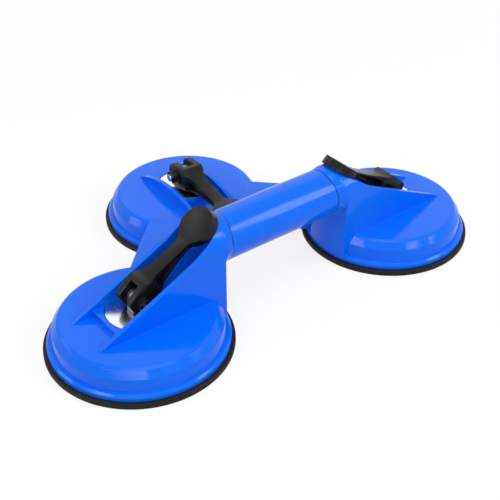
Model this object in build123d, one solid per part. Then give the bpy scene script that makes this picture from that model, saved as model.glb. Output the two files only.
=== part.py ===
from build123d import *
from math import atan2, cos, degrees, hypot, pi, radians, sin, sqrt
import os

# Three-cup suction lifter, in millimetres. X runs along the grip, Y points from the grip to the side cup,
# Z is up. The origin is the middle of the footprint, on the surface that the pads stand on.

# Where the cups stand
cup_spacing = 204.0          # between the centres of the two cups under the grip
side_offset = 100.0          # from the grip's line to the side cup's centre

# Rubber pads
pad_lip = 2.4                # how far the rubber stands out past the flange
pad_rim = 4.0                # thickness of the rubber under the flange
pad_ring = 8.0               # width of the flat ring that touches the glass
pad_centre = 3.0             # thickness of the rubber under the plate
pad_gap = 1.0                # between the inside of the cap's wall and the pad's raised part
plate_radius = 27.0
plate_thickness = 2.0

# Cup caps
wall = 3.0
cap_height = 21.8            # top of the caps and the web above the surface
flange_radius = 56.0
flange_height = 8.2
flange_round = 1.5            # how far the flange's top edge is rounded off
flange_ledge = 3.0           # from the cap's foot out to the flange's edge
shoulder_inset = 1.0         # from the cap's foot in to its shoulder
shoulder_height = 16.4
crown_inset = 5.2            # from the cap's foot in to the crown's edge
crown_round = 0.9
boss_radius = 11.0           # boss that guides the stud under the cap
boss_depth = 6.0

# Web between the cups
band_width = 33.0
band_foot = 5.0
band_round = 1.5

# Channels in which the levers lie
channel_width = 28.5
platform_length = 44.6
platform_top = 26.0
pocket_radius = 19.7
pocket_gap = 0.3             # between the seat plate and its pocket

# Raised arms under the ends of the grip
arm_tip = 36.3               # how far the ribs run outboard of the cup's centre
arm_knee = 32.0              # from the cup's centre inboard to the knee of the ribs
arm_knee_height = 54.5
arm_lip = 1.5                # from the top of the slope to the end of the arm, flush with the flange
arm_top = 69.8
floor_slope = 35.0           # slope of the channel's floor towards the grip, in degrees

# Grip
grip_radius = 15.8
grip_axis_height = 52.9
groove_count = 4
groove_pitch = 19.0
groove_depth = 1.2
groove_land = 2.0            # width left between the grooves

# Arched ribs of the side cup
arch_reach = 37.0            # half the length of an arch at the cap's top
arch_rise = 9.5
arch_shift = 3.0             # how far the arch's crest lies towards the grip

# Seat plates
seat_thickness = 1.4
seat_recess = 0.2            # how far the seat plate lies below the platform's top

# Pull studs
stud_length = 10.0           # section along the lever
stud_thickness = 6.8         # section across the lever
stud_play = 0.3
foot_radius = 10.0
foot_thickness = 2.0

# Lever pins and clips
pin_radius = 2.5
pin_head_radius = 3.6
pin_head = 1.2
pin_end = 1.2                # length of the pin past the clip
groove_radius = 2.0
clip_radius = 4.4
clip_thickness = 0.8
clip_mouth = 3.2
running_gap = 0.05
side_gap = 0.1

# Levers, in a frame of their own: u from the pin towards the paddle, v up, w across
fork_width = 15.6
fork_gap = 0.4               # between each ear and the stud's eye
slot_end = 5.9               # from the pin to the end of the slot between the ears
ear_boss_radius = 4.3        # round boss on the outside of each ear
ear_boss = 3.0
ear_top = 8.1                # height of the ears' tops above the pin
ear_front = 4.0              # from the pin forward to where the ears' tops round off
ear_face = 4.4               # height of the ears' flat front, on which the open lever stops
crest_reach = 9.3            # from the pin to the crest behind the slot
crest_height = 9.6
root_reach = 12.5            # where the fork ends and the neck starts
root_top = 6.8
root_bottom = 5.8
neck_width = 9.4
neck_start = 21.0
neck_end = 42.0
neck_top = 2.0               # height of the neck's top at its lowest, and depth of its underside there
rib_depth = 1.5              # depth of the grooves along the neck's sides
rib_top = 2.1                # thickness of the neck's top flange
rib_bottom = 1.3
paddle_radius = 11.8
paddle_flare = 0.8           # how much wider the paddle is at its underside
paddle_reach = 55.4
paddle_top = 3.8
paddle_bottom = 2.3
paddle_fillet = 9.0          # where the neck widens to the paddle
lever_bow = 0.45             # how far the lever's curved edges bow out past a straight line

# Cam: distance from the pin to the seat at the two ends of the lever's travel
cam_closed = 9.3
cam_open = 7.4
cam_gap = 0.08
closed_angle = -5.0
open_angle = 95.0

# How far each lever stands above the level in its place at rest, in degrees
end_lever_angle = 35.0
side_lever_angle = -5.0

ground = (Align.CENTER, Align.CENTER, Align.MIN)
cup_x = cup_spacing / 2
grip_y = -side_offset / 2
side_y = side_offset / 2
flange_foot = pad_rim
pad_radius = flange_radius + pad_lip
cap_foot_radius = flange_radius - flange_ledge
shoulder_radius = cap_foot_radius - shoulder_inset
crown_radius = cap_foot_radius - crown_inset
arm_end = flange_radius - arm_lip
cap_ceiling = cap_height - wall
rib_width = channel_width + 2 * wall
seat_top = platform_top - seat_recess
seat_floor = seat_top - seat_thickness
cam_rate = (cam_closed - cam_open) / radians(open_angle - closed_angle)


def turned(points):
    """Solid of revolution about Z from a closed outline of (radius, height)."""
    return revolve(Plane.XZ * make_face(Polyline(*points, close=True)), Axis.Z)


def from_side(points, half_width):
    """Prism across the channel from a closed outline of (length, height)."""
    return extrude(Plane.XZ * make_face(Polyline(*points, close=True)), half_width, both=True)


def cam_reach(angle):
    """Distance from the pin down to the seat when the lever stands at the angle."""
    return cam_closed + cam_gap - cam_rate * radians(angle - closed_angle)


def cap_outside():
    return turned([
        (0, flange_foot),
        (flange_radius, flange_foot),
        (flange_radius, flange_height - flange_round),
        (flange_radius - flange_round, flange_height),
        (cap_foot_radius, flange_height),
        (shoulder_radius, shoulder_height),
        (crown_radius + crown_round, cap_height - crown_round),
        (crown_radius - crown_round, cap_height),
        (0, cap_height),
    ])


def cap_inside():
    return turned([
        (0, flange_foot),
        (cap_foot_radius - wall, flange_foot),
        (cap_foot_radius - wall, flange_height),
        (shoulder_radius - wall, shoulder_height - wall / 2),
        (crown_radius - wall, cap_ceiling),
        (0, cap_ceiling),
    ])


def guide_boss():
    return Pos(Z=cap_ceiling - boss_depth) * extrude(Circle(boss_radius), boss_depth + wall)


def seat_shape(radius, width, height):
    """Disc with two straight sides, the outline of the seat plate and of its pocket."""
    return extrude(Circle(radius) & Rectangle(2 * radius, width), height)


def stud_hole(height):
    return extrude(Rectangle(stud_length + 2 * stud_play, stud_thickness + 2 * stud_play), height)


def platform_cuts():
    pocket = Pos(Z=seat_floor) * seat_shape(pocket_radius, channel_width - 2 * pocket_gap, seat_thickness + wall)
    return pocket + stud_hole(platform_top + wall)


def web_band(start, end):
    """Flat band with skirts, open below, between two cups."""
    run = Vector(*end) - Vector(*start)
    middle = (Vector(*end) + Vector(*start)) * 0.5
    place = Pos(middle) * Rot(Z=degrees(atan2(run.Y, run.X)))
    outside = Pos(Z=band_foot) * Box(run.length, band_width, cap_height - band_foot, align=ground)
    outside = fillet(outside.edges().filter_by(Axis.X).group_by(Axis.Z)[-1], band_round)
    inner_height = cap_ceiling - band_foot
    inside = Pos(Z=band_foot) * Box(run.length, band_width - 2 * wall, inner_height, align=ground)
    return place * outside, place * inside


def arm_outside():
    """Raised arm on a cup at the origin, with the grip towards -X and its end flush with the flange."""
    profile = [
        (arm_tip, cap_height),
        (-arm_knee, arm_knee_height),
        (-arm_end, arm_top),
        (-flange_radius, arm_top),
        (-flange_radius, flange_foot),
        (arm_tip, flange_foot),
    ]
    tunnel_height = arm_top - rib_width / 2
    section = Pos(Y=tunnel_height) * Circle(rib_width / 2)
    section += Pos(Y=tunnel_height / 2) * Rectangle(rib_width, tunnel_height)
    tunnel = extrude(Plane.YZ * section, 2 * flange_radius, both=True)
    drum = extrude(Circle(flange_radius), arm_top)
    return from_side(profile, rib_width) & tunnel & drum


def floor_height(x):
    """Height of the channel's floor, which climbs towards the grip."""
    return platform_top + (-platform_length / 2 - x) * sin(radians(floor_slope)) / cos(radians(floor_slope))


def arm_recess():
    """Open channel between the arm's ribs, with a round end at the grip."""
    half = channel_width / 2
    bend = -arm_end + half
    reach = arm_tip + cap_height
    plan = Pos(X=bend) * Circle(half)
    plan += Pos(X=(reach + bend) / 2) * Rectangle(reach - bend, channel_width)
    prism = extrude(plan, arm_top + wall)
    above_floor = from_side([
        (reach, cap_height),
        (platform_length / 2, cap_height),
        (platform_length / 2, platform_top),
        (-platform_length / 2, platform_top),
        (-arm_end, floor_height(-arm_end)),
        (-arm_end, arm_top + wall),
        (reach, arm_top + wall),
    ], rib_width)
    return prism & above_floor


def arm_hollow():
    """Space under the sloping floor, open to the cup."""
    drop = wall / cos(radians(floor_slope))
    low_x = -platform_length / 2 - drop
    inside = flange_radius - wall
    wedge = from_side([
        (-inside, flange_foot),
        (-inside, floor_height(-inside) - drop),
        (low_x, floor_height(low_x) - drop),
        (low_x, flange_foot),
    ], channel_width / 2)
    return wedge & extrude(Circle(inside), arm_top)


def side_channel():
    """Low arched ribs and the platform of the side cup, along X with the grip towards -X."""
    arch_radius = (arch_reach ** 2 + arch_rise ** 2) / (2 * arch_rise)
    arch = Plane.XZ * Pos(-arch_shift, cap_height + arch_rise - arch_radius) * Circle(arch_radius)
    ribs = extrude(arch, rib_width / 2, both=True) - extrude(arch, channel_width / 2, both=True)
    above_cap = Pos(-arch_shift, 0, cap_ceiling) * Box(4 * arch_reach, 2 * rib_width, 2 * arch_rise, align=ground)
    ribs = ribs & above_cap
    deck = Pos(Z=cap_ceiling) * Box(platform_length, channel_width, platform_top - cap_ceiling, align=ground)
    return ribs + deck


def grip():
    """Round grip with shallow finger hollows across its underside."""
    length = cup_spacing - 2 * flange_radius + 4 * wall
    bar = extrude(Plane.YZ * Circle(grip_radius), length / 2, both=True)
    half = (groove_pitch - groove_land) / 2
    hollow_radius = (half ** 2 + groove_depth ** 2) / (2 * groove_depth)
    hollow = extrude(Plane.XZ * Circle(hollow_radius), 2 * grip_radius, both=True)
    first = -(groove_count - 1) * groove_pitch / 2
    for step in range(groove_count):
        x = first + step * groove_pitch
        bar -= Pos(x, 0, groove_depth - grip_radius - hollow_radius) * hollow
    return Pos(0, grip_y, grip_axis_height) * bar


# For each cup, its place, the lever's angle and how far its pin is turned end for end
places = {
    "left": (Pos(-cup_x, grip_y) * Rot(Z=180), end_lever_angle, 0),
    "right": (Pos(cup_x, grip_y), end_lever_angle, 180),
    "side": (Pos(0, side_y) * Rot(Z=90), side_lever_angle, 0),
}


def body():
    left, right, side = (places[name][0] for name in ("left", "right", "side"))
    bands = [web_band((x, grip_y), (0, side_y)) for x in (-cup_x, cup_x)]
    caps = [place * cap_outside() for place in (left, right, side)]
    shell = caps[0] + caps[1] + caps[2]
    skirts = bands[0][1] + bands[1][1] - shell
    shell = shell + bands[0][0] + bands[1][0] + left * arm_outside() + right * arm_outside()
    shell = shell - skirts
    for place in (left, right, side):
        shell = shell - place * cap_inside()
    for place in (left, right):
        shell = shell - place * arm_hollow()
    shell = shell + grip()
    for place in (left, right):
        shell = shell - place * arm_recess()
    shell = shell + side * side_channel()
    for place in (left, right, side):
        shell = shell + place * guide_boss()
        shell = shell - place * platform_cuts()
    return shell


def pad(lift):
    """Rubber disc, drawn up in its middle by the lift."""
    inner = pad_radius - pad_ring
    knee = plate_radius + wall
    return turned([
        (0, lift),
        (knee, lift),
        (inner, 0),
        (pad_radius, 0),
        (pad_radius, pad_rim),
        (cap_foot_radius - wall - pad_gap, pad_rim),
        (knee, lift + pad_centre),
        (0, lift + pad_centre),
    ])


def pad_plate(lift):
    return Pos(Z=lift + pad_centre) * extrude(Circle(plate_radius), plate_thickness)


def pull_stud(lift, pin_height):
    """Tongue with a foot on the pad's plate and an eye for the lever's pin."""
    foot_height = lift + pad_centre + plate_thickness
    foot = Pos(Z=foot_height) * extrude(Circle(foot_radius), foot_thickness)
    shank_height = pin_height - foot_height
    shank = Pos(Z=foot_height) * Box(stud_length, stud_thickness, shank_height, align=ground)
    eye = extrude(Plane.XZ * Pos(0, pin_height) * Circle(stud_length / 2), stud_thickness / 2, both=True)
    bore = extrude(Plane.XZ * Pos(0, pin_height) * Circle(pin_radius + running_gap), stud_thickness, both=True)
    return foot + shank + eye - bore


def seat_plate():
    plate = seat_shape(pocket_radius - pocket_gap, channel_width - 4 * pocket_gap, seat_thickness)
    return Pos(Z=seat_floor) * (plate - stud_hole(seat_thickness))


def cam_point(angle):
    """Point of the cam that touches the seat when the lever stands at the angle."""
    reach = cam_reach(angle) - cam_gap
    facing = radians(-90 - angle)
    u = reach * cos(facing) - cam_rate * sin(facing)
    v = reach * sin(facing) + cam_rate * cos(facing)
    return u, v


def lever_side():
    """The lever's outline from the side, in (u, v)."""
    steps = 10
    angles = [closed_angle + (open_angle - closed_angle) * step / steps for step in range(steps + 1)]
    cam = Spline(*[cam_point(angle) for angle in angles])
    lean = radians(open_angle - 90)
    front = Vector(*cam_point(open_angle))
    face_top = Vector(front.X + (ear_face - front.Y) * sin(lean) / cos(lean), ear_face)
    tip = paddle_reach + paddle_radius + paddle_flare
    crest = (crest_reach, crest_height)
    root = (root_reach, root_top)
    neck = Spline(root, ((root_reach + neck_end) / 2, (root_top + 2 * neck_top) / 3), (neck_end, neck_top))
    under_neck = Spline((neck_end, -neck_top), ((neck_start + neck_end) / 2, -neck_top - lever_bow),
                        (root_reach, -root_bottom), cam @ 0)
    corner = ThreePointArc(face_top, (-ear_front - ear_face / 2, (ear_top + ear_face) / 2 + lever_bow),
                           (-ear_front, ear_top))
    return make_face([
        cam,
        Line(cam @ 1, face_top),
        corner,
        Line((-ear_front, ear_top), crest),
        Line(crest, root),
        neck,
        Line(neck @ 1, (tip, paddle_top)),
        Line((tip, paddle_top), (tip, -paddle_bottom)),
        Line((tip, -paddle_bottom), (neck_end, -neck_top)),
        under_neck,
    ])


def lever_plan():
    """The lever's outline from above, in (u, w)."""
    fork, neck = fork_width / 2, neck_width / 2
    behind = -2 * cam_closed
    flare = Spline((root_reach, fork), (neck_start, neck), tangents=((1, -1), (1, 0)))
    half = make_face([
        flare,
        Line((neck_start, neck), (paddle_reach, neck)),
        Line((paddle_reach, neck), (paddle_reach, 0)),
        Line((paddle_reach, 0), (behind, 0)),
        Line((behind, 0), (behind, fork)),
        Line((behind, fork), (root_reach, fork)),
    ])
    plan = half + mirror(half, Plane.XZ) + Pos(X=paddle_reach) * Circle(paddle_radius)
    joins = [corner for corner in plan.vertices() if neck_start + neck < corner.X < paddle_reach]
    return fillet(joins, paddle_fillet)


def neck_groove():
    """Recess along one side of the neck, between its flanges."""
    start, end = root_reach + rib_top, neck_end
    middle = (start + end) / 2
    face = make_face([
        Spline((start, root_top - 2 * rib_top), (middle, (root_top + 2 * neck_top) / 3 - rib_top),
               (end, neck_top - rib_top)),
        Line((end, neck_top - rib_top), (end, rib_bottom - neck_top)),
        Spline((end, rib_bottom - neck_top), (middle, rib_bottom - neck_top - lever_bow),
               (start, rib_bottom - root_bottom)),
        Line((start, rib_bottom - root_bottom), (start, root_top - 2 * rib_top)),
    ])
    return Pos(Y=-neck_width / 2 + rib_depth) * extrude(Plane.XZ * face, fork_width)


def lever():
    """Cam lever in its own frame: X is u towards the paddle, Z is v, Y is w."""
    blade = extrude(Plane.XZ * lever_side(), fork_width, both=True)
    shape = blade & extrude(lever_plan(), 4 * cam_closed, both=True)
    thickness = paddle_top + paddle_bottom
    disc = Cone(paddle_radius + paddle_flare, paddle_radius, thickness, align=ground)
    shape += Pos(paddle_reach, 0, -paddle_bottom) * disc & blade
    slot_width = stud_thickness + 2 * fork_gap
    slot_length = slot_end + 2 * cam_closed
    shape -= Pos(X=slot_end - slot_length / 2) * Box(slot_length, slot_width, 4 * cam_closed)
    groove = neck_groove()
    shape = shape - groove - mirror(groove, Plane.XZ)
    for side in (1, -1):
        start = side * fork_width / 2
        shape += Pos(Y=start) * extrude(Plane.XZ * Circle(ear_boss_radius), -side * ear_boss)
    shape -= extrude(Plane.XZ * Circle(pin_radius + running_gap), 2 * fork_width, both=True)
    return shape


def lever_pin():
    """Pin along Y with a head at -Y and a clip's groove at the other end."""
    ear = fork_width / 2 + ear_boss + side_gap
    far_end = ear + clip_thickness + 2 * running_gap + pin_end
    pin = Pos(Y=-ear) * extrude(Plane.XZ * Circle(pin_head_radius), pin_head)
    pin += extrude(Plane.XZ * Circle(pin_radius), ear)
    pin += extrude(Plane.XZ * Circle(pin_radius), -far_end)
    groove = Plane.XZ * (Circle(2 * pin_radius) - Circle(groove_radius))
    return pin - Pos(Y=ear) * extrude(groove, -clip_thickness - 2 * running_gap)


def pin_clip():
    ring = Circle(clip_radius) - Circle(groove_radius + running_gap)
    ring -= Pos(Y=-clip_radius / 2) * Rectangle(clip_mouth, clip_radius)
    clip = extrude(Plane.XZ * ring, -clip_thickness)
    return Pos(Y=fork_width / 2 + ear_boss + side_gap + running_gap) * clip


pieces = {"body": body()}
for cup, (place, angle, pin_turn) in places.items():
    pin_height = seat_top + cam_reach(angle)
    lift = cam_reach(angle) - cam_reach(open_angle)
    pivot = place * Pos(Z=pin_height)
    pieces[cup + "_pad"] = place * pad(lift)
    pieces[cup + "_pad_plate"] = place * pad_plate(lift)
    pieces[cup + "_pull_stud"] = place * pull_stud(lift, pin_height)
    pieces[cup + "_seat_plate"] = place * seat_plate()
    pieces[cup + "_lever"] = pivot * Rot(Y=angle) * Rot(Z=180) * lever()
    pieces[cup + "_lever_pin"] = pivot * Rot(Z=pin_turn) * lever_pin()
    pieces[cup + "_pin_clip"] = pivot * Rot(Z=pin_turn) * pin_clip()

os.makedirs("parts", exist_ok=True)
for node, shape in pieces.items():
    export_step(shape, f"parts/{node}.step")
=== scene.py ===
import bpy
from math import cos, pi, radians, sin, sqrt
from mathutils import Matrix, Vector


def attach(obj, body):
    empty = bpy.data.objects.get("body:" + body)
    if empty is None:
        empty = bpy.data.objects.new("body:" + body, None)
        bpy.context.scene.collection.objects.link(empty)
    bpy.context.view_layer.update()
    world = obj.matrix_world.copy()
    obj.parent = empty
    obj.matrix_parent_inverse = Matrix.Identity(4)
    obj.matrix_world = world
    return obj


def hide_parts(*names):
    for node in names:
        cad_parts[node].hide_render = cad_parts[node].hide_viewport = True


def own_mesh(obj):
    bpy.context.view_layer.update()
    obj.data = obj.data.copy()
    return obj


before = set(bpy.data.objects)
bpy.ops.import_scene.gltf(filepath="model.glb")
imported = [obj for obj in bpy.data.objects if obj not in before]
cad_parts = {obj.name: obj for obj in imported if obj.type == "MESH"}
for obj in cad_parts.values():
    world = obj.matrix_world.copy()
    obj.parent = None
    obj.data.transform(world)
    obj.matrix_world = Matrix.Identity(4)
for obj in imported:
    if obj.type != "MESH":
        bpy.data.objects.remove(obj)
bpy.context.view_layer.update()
print("frame loaded:", len(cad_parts), "nodes")


# the photograph's viewpoint, solved from the three pads' rims
camera = {
    "place": (-0.3131, -0.4366, 0.3821),
    "yaw": 37.39,
    "pitch": 35.73,
    "focal": 942.6,          # in pixels of a 500 pixel wide picture
    "picture": 500,
    "sensor": 36.0,
    "near": 0.01,
}


def makeCamera():
    data = bpy.data.cameras.new("camera")
    data.sensor_width = camera["sensor"]
    data.lens = camera["focal"] * camera["sensor"] / camera["picture"]
    data.clip_start = camera["near"]
    shot = bpy.data.objects.new("camera", data)
    bpy.context.scene.collection.objects.link(shot)
    shot.location = camera["place"]
    shot.rotation_euler = (radians(90 - camera["pitch"]), 0, radians(-camera["yaw"]))
    bpy.context.scene.camera = shot


makeCamera()
print("camera placed")

# soft boxes round the lifter: compass angle from the front towards the right, angle above
# the floor, distance, sides and power
lamps = {
    "key": {"turn": 39, "rise": 33, "away": 1.25, "size": (0.3, 0.6), "power": 4.3},
    "leftFront": {"turn": -46, "rise": 28, "away": 1.3, "size": (0.8, 0.13), "power": 2.1},
    "left": {"turn": -81, "rise": 34, "away": 1.3, "size": (0.5, 0.13), "power": 1.8},
    "front": {"turn": 9, "rise": 30, "away": 1.5, "size": (0.5, 0.14), "power": 1.6},
    "backLeft": {"turn": -120, "rise": 20, "away": 1.3, "size": (0.4, 0.25), "power": 1.2},
    "back": {"turn": 142, "rise": 38, "away": 1.5, "size": (1.1, 0.8), "power": 1.4},
    "ribLight": {"turn": -147, "rise": 35, "away": 1.4, "size": (0.5, 0.2), "power": 0.6},
    "overhead": {"turn": -20, "rise": 76, "away": 1.4, "size": (0.9, 0.9), "power": 5.8},
}
lampTarget = (0.0, 0.0, 0.03)


def makeLamps():
    for name, lamp in lamps.items():
        data = bpy.data.lights.new(name, "AREA")
        data.shape = "RECTANGLE"
        data.size, data.size_y = lamp["size"]
        data.energy = lamp["power"]
        light = bpy.data.objects.new(name, data)
        bpy.context.scene.collection.objects.link(light)
        turn, rise = radians(lamp["turn"]), radians(lamp["rise"])
        outward = Vector((sin(turn) * cos(rise), -cos(turn) * cos(rise), sin(rise)))
        light.location = Vector(lampTarget) + outward * lamp["away"]
        light.rotation_euler = (-outward).to_track_quat("-Z", "Y").to_euler()


# floorColour is the floor that throws light back up, floorWhite the one that shows the shadow
studio = {
    "light": 0.45,
    "white": (1, 1, 1, 1),
    "floorSize": 60.0,
    "floorDrop": 0.0002,
    "floorColour": (0.6, 0.6, 0.61, 1),
    "floorWhite": (0.97, 0.97, 0.97, 1),
    "shadow": 0.2,
    "shadowReach": (0.3, 0.75),
}


def addSeenRays(tree):
    # 1 for what the camera, a mirror or glass sees, 0 for the light that the surface gives off
    path = tree.nodes.new("ShaderNodeLightPath")
    both = tree.nodes.new("ShaderNodeMath")
    both.operation = "MAXIMUM"
    tree.links.new(path.outputs["Is Camera Ray"], both.inputs[0])
    tree.links.new(path.outputs["Is Glossy Ray"], both.inputs[1])
    allSeen = tree.nodes.new("ShaderNodeMath")
    allSeen.operation = "MAXIMUM"
    tree.links.new(both.outputs[0], allSeen.inputs[0])
    tree.links.new(path.outputs["Is Transmission Ray"], allSeen.inputs[1])
    return allSeen.outputs[0]


def addSeenMix(tree, unseen, seen):
    mix = tree.nodes.new("ShaderNodeMixShader")
    tree.links.new(addSeenRays(tree), mix.inputs["Fac"])
    tree.links.new(unseen, mix.inputs[1])
    tree.links.new(seen, mix.inputs[2])
    return mix.outputs[0]


def makeWorld():
    world = bpy.data.worlds.new("studio")
    bpy.context.scene.world = world
    world.use_nodes = True
    tree = world.node_tree
    plain = tree.nodes["Background"]
    plain.inputs["Color"].default_value = studio["white"]
    plain.inputs["Strength"].default_value = studio["light"]
    white = tree.nodes.new("ShaderNodeBackground")
    white.inputs["Color"].default_value = studio["white"]
    white.inputs["Strength"].default_value = 1.0
    surface = addSeenMix(tree, plain.outputs[0], white.outputs[0])
    tree.links.new(surface, tree.nodes["World Output"].inputs["Surface"])


def addShadowShare(tree):
    # the shadow's share fades out round the lifter, so that the floor meets the white behind
    # it with no edge
    where = tree.nodes.new("ShaderNodeTexCoord")
    away = tree.nodes.new("ShaderNodeVectorMath")
    away.operation = "LENGTH"
    tree.links.new(where.outputs["Object"], away.inputs[0])
    fade = tree.nodes.new("ShaderNodeMapRange")
    fade.interpolation_type = "SMOOTHSTEP"
    fade.inputs["From Min"].default_value = studio["shadowReach"][0]
    fade.inputs["From Max"].default_value = studio["shadowReach"][1]
    fade.inputs["To Min"].default_value = studio["shadow"]
    fade.inputs["To Max"].default_value = 0.0
    tree.links.new(away.outputs["Value"], fade.inputs["Value"])
    return fade.outputs["Result"]


def makeFloor():
    bpy.ops.object.select_all(action="DESELECT")
    bpy.ops.mesh.primitive_plane_add(size=studio["floorSize"],
                                     location=(0, 0, -studio["floorDrop"]))
    floor = bpy.context.object
    floor.name = "floor"
    material = bpy.data.materials.new("paleFloor")
    material.use_nodes = True
    tree = material.node_tree
    tree.nodes.clear()
    cloth = tree.nodes.new("ShaderNodeBsdfDiffuse")
    cloth.inputs["Color"].default_value = studio["floorColour"]
    shaded = tree.nodes.new("ShaderNodeBsdfDiffuse")
    shaded.inputs["Color"].default_value = studio["floorWhite"]
    glow = tree.nodes.new("ShaderNodeEmission")
    glow.inputs["Color"].default_value = studio["white"]
    glow.inputs["Strength"].default_value = 1.0
    seen = tree.nodes.new("ShaderNodeMixShader")
    tree.links.new(addShadowShare(tree), seen.inputs["Fac"])
    tree.links.new(glow.outputs[0], seen.inputs[1])
    tree.links.new(shaded.outputs[0], seen.inputs[2])
    out = tree.nodes.new("ShaderNodeOutputMaterial")
    tree.links.new(addSeenMix(tree, cloth.outputs[0], seen.outputs[0]), out.inputs["Surface"])
    floor.data.materials.append(material)


makeLamps()
makeWorld()
makeFloor()
bpy.context.scene.view_settings.view_transform = "Standard"
print("studio lit")

# patch is the scale of the tint's noise, grain that of the bump's, edge the radius that
# edges are shaded round with
finishes = {
    "housingPlastic": {"colour": (0.0, 0.148, 0.9), "dark": (0.0, 0.132, 0.84), "patch": 18,
                       "rough": (0.1, 0.17), "shine": 0.18, "grain": 2400, "bump": 0.03,
                       "edge": 0.0007},
    "leverPlastic": {"colour": (0.008, 0.0075, 0.007), "dark": (0.004, 0.004, 0.004),
                     "patch": 60, "rough": (0.2, 0.32), "shine": 0.2, "grain": 3000,
                     "bump": 0.06, "edge": 0.0005},
    "padRubber": {"colour": (0.009, 0.009, 0.009), "dark": (0.005, 0.005, 0.006),
                  "patch": 40, "rough": (0.5, 0.68), "shine": 0.2, "grain": 4000,
                  "bump": 0.1, "edge": 0.0},
    "brightZinc": {"colour": (0.78, 0.79, 0.81), "dark": (0.62, 0.63, 0.66), "patch": 120,
                   "rough": (0.16, 0.28), "metal": 1.0, "grain": 900, "bump": 0.03,
                   "edge": 0.0003},
    "studSteel": {"colour": (0.32, 0.32, 0.33), "dark": (0.2, 0.2, 0.21), "patch": 150,
                  "rough": (0.28, 0.42), "metal": 1.0, "grain": 1500, "bump": 0.05,
                  "edge": 0.0003},
    "plateSteel": {"colour": (0.6, 0.6, 0.62), "dark": (0.48, 0.48, 0.5), "patch": 90,
                   "rough": (0.25, 0.4), "metal": 1.0, "grain": 1200, "bump": 0.04,
                   "edge": 0.0003},
    "pinSteel": {"colour": (0.78, 0.78, 0.79), "dark": (0.62, 0.62, 0.64), "patch": 200,
                 "rough": (0.14, 0.24), "metal": 1.0, "grain": 1500, "bump": 0.03,
                 "edge": 0.0003},
    "clipSteel": {"colour": (0.045, 0.045, 0.048), "dark": (0.02, 0.02, 0.022), "patch": 200,
                  "rough": (0.26, 0.38), "metal": 1.0, "grain": 1500, "bump": 0.03,
                  "edge": 0.0002},
}
texture = {"tintDetail": 4, "wearDetail": 6, "grainDetail": 2, "wearPerPatch": 3,
           "wearSpan": (0.3, 0.7), "bumpHeight": 0.0002, "edgeSamples": 8}


def addNoise(tree, where, scale, detail):
    noise = tree.nodes.new("ShaderNodeTexNoise")
    noise.inputs["Scale"].default_value = scale
    noise.inputs["Detail"].default_value = detail
    tree.links.new(where, noise.inputs["Vector"])
    return noise.outputs["Fac"]


def makeFinish(name):
    look = finishes[name]
    material = bpy.data.materials.new(name)
    material.use_nodes = True
    tree = material.node_tree
    shader = tree.nodes["Principled BSDF"]
    shader.inputs["Metallic"].default_value = look.get("metal", 0.0)
    shader.inputs["Specular IOR Level"].default_value = look.get("shine", 0.5)
    where = tree.nodes.new("ShaderNodeTexCoord").outputs["Object"]

    tint = tree.nodes.new("ShaderNodeMix")
    tint.data_type = "RGBA"
    tint.inputs["A"].default_value = (*look["dark"], 1)
    tint.inputs["B"].default_value = (*look["colour"], 1)
    patches = addNoise(tree, where, look["patch"], texture["tintDetail"])
    tree.links.new(patches, tint.inputs["Factor"])
    tree.links.new(tint.outputs["Result"], shader.inputs["Base Color"])

    sheen = tree.nodes.new("ShaderNodeMapRange")
    sheen.inputs["From Min"].default_value = texture["wearSpan"][0]
    sheen.inputs["From Max"].default_value = texture["wearSpan"][1]
    sheen.inputs["To Min"].default_value = look["rough"][0]
    sheen.inputs["To Max"].default_value = look["rough"][1]
    wear = addNoise(tree, where, look["patch"] * texture["wearPerPatch"], texture["wearDetail"])
    tree.links.new(wear, sheen.inputs["Value"])
    tree.links.new(sheen.outputs["Result"], shader.inputs["Roughness"])

    bump = tree.nodes.new("ShaderNodeBump")
    bump.inputs["Strength"].default_value = look["bump"]
    bump.inputs["Distance"].default_value = texture["bumpHeight"]
    grain = addNoise(tree, where, look["grain"], texture["grainDetail"])
    tree.links.new(grain, bump.inputs["Height"])
    if look["edge"]:
        softEdge = tree.nodes.new("ShaderNodeBevel")
        softEdge.samples = texture["edgeSamples"]
        softEdge.inputs["Radius"].default_value = look["edge"]
        tree.links.new(softEdge.outputs["Normal"], bump.inputs["Normal"])
    tree.links.new(bump.outputs["Normal"], shader.inputs["Normal"])
    return material


materials = {name: makeFinish(name) for name in finishes}
print("finishes made:", len(materials))

# the CAD nodes' finishes, by the words after the cup's name
nodeFinish = {
    "body": "housingPlastic",
    "pad": "padRubber",
    "pad_plate": "plateSteel",
    "pull_stud": "studSteel",
    "seat_plate": "brightZinc",
    "lever": "leverPlastic",
    "lever_pin": "pinSteel",
    "pin_clip": "clipSteel",
}
smoothing = {"merge": 0.000001, "body": 20, "small": 34}
leverEdge = {"width": 0.0004, "segments": 3, "angle": 38}


def dressNodes():
    for name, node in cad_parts.items():
        kind = name.split("_", 1)[1] if "_" in name else name
        node.data.materials.clear()
        node.data.materials.append(materials[nodeFinish[kind]])
        for face in node.data.polygons:
            face.use_smooth = True
        weld = node.modifiers.new("joined", "WELD")
        weld.merge_threshold = smoothing["merge"]
        if kind == "lever":
            softened = node.modifiers.new("softened", "BEVEL")
            softened.width = leverEdge["width"]
            softened.segments = leverEdge["segments"]
            softened.limit_method = "ANGLE"
            softened.angle_limit = radians(leverEdge["angle"])
            softened.use_clamp_overlap = True
        split = node.modifiers.new("edges", "EDGE_SPLIT")
        split.split_angle = radians(smoothing["body" if name == "body" else "small"])


dressNodes()
print("nodes dressed")

# the cups' centres, left and right of the grip and behind it
cups = {"left": (-0.102, -0.05), "right": (0.102, -0.05), "side": (0.0, 0.05)}


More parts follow.
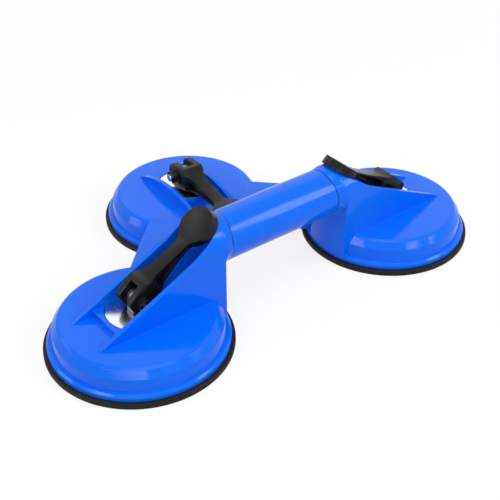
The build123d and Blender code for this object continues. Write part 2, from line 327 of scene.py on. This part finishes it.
def pickPoints(piece, wanted):
    # leaves the piece in edit mode, with the points selected that the test is true for
    bpy.ops.object.mode_set(mode="OBJECT")
    for point in piece.data.vertices:
        point.select = wanted(point.co)
    for edge in piece.data.edges:
        edge.select = all(piece.data.vertices[end].select for end in edge.vertices)
    bpy.ops.object.mode_set(mode="EDIT")


# where the grip runs into each arm: it flares out to the arm's edge on top, with a rounded
# corner underneath
corner = {
    "grip": 0.0158,
    "height": 0.0529,
    "drum": 0.056,           # radius of the round wall that the grip runs into
    "armEdge": 0.01722,      # from the grip's middle to the arm's edge, level with it
    "armDrop": 0.00035,      # how much less that is at the grip's top
    "flare": 0.0065,
    "round": 0.0024,
    "sunk": 0.0006,          # how far the last ring lies inside the plastic
    "sides": 120,
    "rings": 10,
    "step": 0.001,
    "near": 0.0001,
    "smooth": 60,
}


def ease(share):
    return share ** 2 * (3 - 2 * share)


def placeCornerPoint(place, centre):
    # the tube's rings go from the grip to the arm's wall, and the last one back inside
    grip = corner["grip"]
    facing = 1 if centre[0] < 0 else -1
    arcs = corner["rings"] - 1
    ring = round(place.x / corner["step"])
    across, up = place.y - centre[1], place.z - corner["height"]
    upward = up / grip
    if ring <= arcs:
        along = ring / arcs
        angle = pi / 2 * ring / arcs
        edge = corner["armEdge"] - corner["armDrop"] * upward
        flared = grip + (edge - grip) * ease(along)
        rounded = grip + corner["round"] * (1 - cos(angle))
        share = ease(min(max(1 + upward, 0), 1))
        reach = share * flared + (1 - share) * rounded
        flareGap = corner["flare"] * (1 - along)
        roundGap = corner["round"] * (1 - sin(angle))
        gap = share * flareGap + (1 - share) * roundGap
    else:
        reach, gap = grip - corner["sunk"], -corner["sunk"]
    across, up = across * reach / grip, up * reach / grip
    wall = sqrt(corner["drum"] ** 2 - across ** 2)
    return centre[0] + facing * (wall + gap), centre[1] + across, corner["height"] + up


def makeCorner(cup, centre):
    bpy.ops.object.select_all(action="DESELECT")
    bpy.ops.mesh.primitive_circle_add(vertices=corner["sides"], radius=corner["grip"],
                                      location=(0, centre[1], corner["height"]),
                                      rotation=(0, pi / 2, 0))
    piece = bpy.context.object
    piece.name = cup + "_grip_corner"
    bpy.ops.object.transform_apply(location=True, rotation=True, scale=True)
    bpy.ops.object.mode_set(mode="EDIT")
    bpy.ops.mesh.select_all(action="SELECT")
    for ring in range(corner["rings"]):
        bpy.ops.mesh.extrude_region_move(
            TRANSFORM_OT_translate={"value": (corner["step"], 0, 0)})
    first, last = corner["near"], corner["step"] * corner["rings"] - corner["near"]
    pickPoints(piece, lambda place: place.x < first or place.x > last)
    bpy.ops.mesh.bridge_edge_loops()
    bpy.ops.object.mode_set(mode="OBJECT")
    for point in piece.data.vertices:
        point.co = placeCornerPoint(point.co, centre)
    bpy.ops.object.mode_set(mode="EDIT")
    bpy.ops.mesh.select_all(action="SELECT")
    bpy.ops.mesh.normals_make_consistent(inside=False)
    bpy.ops.object.mode_set(mode="OBJECT")
    bpy.ops.object.shade_smooth_by_angle(angle=radians(corner["smooth"]))
    piece.data.materials.append(materials["housingPlastic"])
    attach(piece, "housing")


for cup in ("left", "right"):
    makeCorner(cup, cups[cup])
print("grip corners made")

spin = {"steps": 128, "merge": 0.000005, "smooth": 40}


def addSection(name, inner, outer, height, centre):
    # upright rectangle through the cup's axis, in edit mode, with its face taken off so that
    # only its edges spin
    bpy.ops.object.select_all(action="DESELECT")
    middle = (centre[0] + (inner + outer) / 2, centre[1], height / 2)
    bpy.ops.mesh.primitive_plane_add(size=1, location=middle, rotation=(pi / 2, 0, 0))
    piece = bpy.context.object
    piece.name = name
    piece.scale = (outer - inner, height, 1)
    bpy.ops.object.transform_apply(location=True, rotation=True, scale=True)
    bpy.ops.object.mode_set(mode="EDIT")
    bpy.ops.mesh.select_all(action="SELECT")
    bpy.ops.mesh.delete(type="ONLY_FACE")
    bpy.ops.mesh.select_all(action="DESELECT")
    return piece


def spinSection(piece, centre):
    bpy.ops.mesh.select_all(action="SELECT")
    bpy.ops.mesh.spin(steps=spin["steps"], angle=2 * pi, center=(*centre, 0), axis=(0, 0, 1))
    bpy.ops.mesh.select_all(action="SELECT")
    bpy.ops.mesh.remove_doubles(threshold=spin["merge"])
    bpy.ops.mesh.normals_make_consistent(inside=False)
    bpy.ops.object.mode_set(mode="OBJECT")
    bpy.ops.object.shade_smooth_by_angle(angle=radians(spin["smooth"]))
    piece.data.materials.append(materials["padRubber"])


# the ring that touches the glass is cut into strips. Raising the first two cuts makes one
# wide sealing groove, and raising the fourth a narrow one
rim = {
    "inner": 0.0504,
    "outer": 0.0584,
    "height": 0.004,
    "round": 0.0009,
    "roundSteps": 4,
    "cuts": 7,
    "raised": (1, 2, 4),
    "grooveDepth": 0.0004,
}


def makeRim(cup, centre):
    piece = addSection(cup + "_pad_rim", rim["inner"], rim["outer"], rim["height"], centre)
    low = rim["height"] / 2
    pickPoints(piece, lambda place: place.z < low)
    bpy.ops.mesh.subdivide(number_cuts=rim["cuts"])
    strip = (rim["outer"] - rim["inner"]) / (rim["cuts"] + 1)
    near = strip / 4
    grooves = [centre[0] + rim["inner"] + strip * cut for cut in rim["raised"]]
    pickPoints(piece, lambda place: place.z < low
               and any(abs(place.x - groove) < near for groove in grooves))
    bpy.ops.transform.translate(value=(0, 0, rim["grooveDepth"]))
    pickPoints(piece, lambda place: abs(place.x - centre[0] - rim["outer"]) < near)
    bpy.ops.mesh.bevel(offset=rim["round"], segments=rim["roundSteps"], affect="VERTICES")
    spinSection(piece, centre)
    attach(piece, "housing")


# the raised middle of a pad, flat out to its knee and sloping from there to its edge
face = {
    "knee": 0.03,
    "outer": 0.0503,
    "shoulder": 0.049,
    "thick": 0.003,
    "edge": 0.004,
    "lift": {"left": 0.00114, "right": 0.00114, "side": 0.0019},
    "near": 0.001,
    "level": 0.0001,
}


def makeFace(cup, centre):
    lift = face["lift"][cup]
    piece = addSection(cup + "_pad_face", 0, face["outer"], face["edge"], centre)
    low = face["edge"] / 2
    pickPoints(piece, lambda place: place.z < low)
    bpy.ops.mesh.subdivide(number_cuts=1)
    pickPoints(piece, lambda place: place.z > low)
    bpy.ops.mesh.subdivide(number_cuts=1)
    # the edge on the axis goes, so that nothing is left inside the spun shape
    pickPoints(piece, lambda place: place.x < centre[0] + face["near"])
    bpy.ops.mesh.delete(type="EDGE")
    middle = centre[0] + face["outer"] / 2
    pickPoints(piece, lambda place: abs(place.x - middle) < face["near"])
    bpy.ops.transform.translate(value=(face["knee"] - face["outer"] / 2, 0, 0))
    knee = centre[0] + face["knee"] + face["near"]
    top = face["edge"] - face["level"]
    pickPoints(piece, lambda place: place.x < knee and place.z < low)
    bpy.ops.transform.translate(value=(0, 0, lift))
    pickPoints(piece, lambda place: place.x < knee and place.z > top)
    bpy.ops.transform.translate(value=(0, 0, lift + face["thick"] - face["edge"]))
    pickPoints(piece, lambda place: place.x > knee and place.z > low)
    bpy.ops.transform.translate(value=(face["shoulder"] - face["outer"], 0, 0))
    spinSection(piece, centre)
    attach(piece, "housing")
    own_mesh(piece)
    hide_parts(cup + "_pad")


for cup, centre in cups.items():
    makeRim(cup, centre)
    makeFace(cup, centre)
print("pads made")
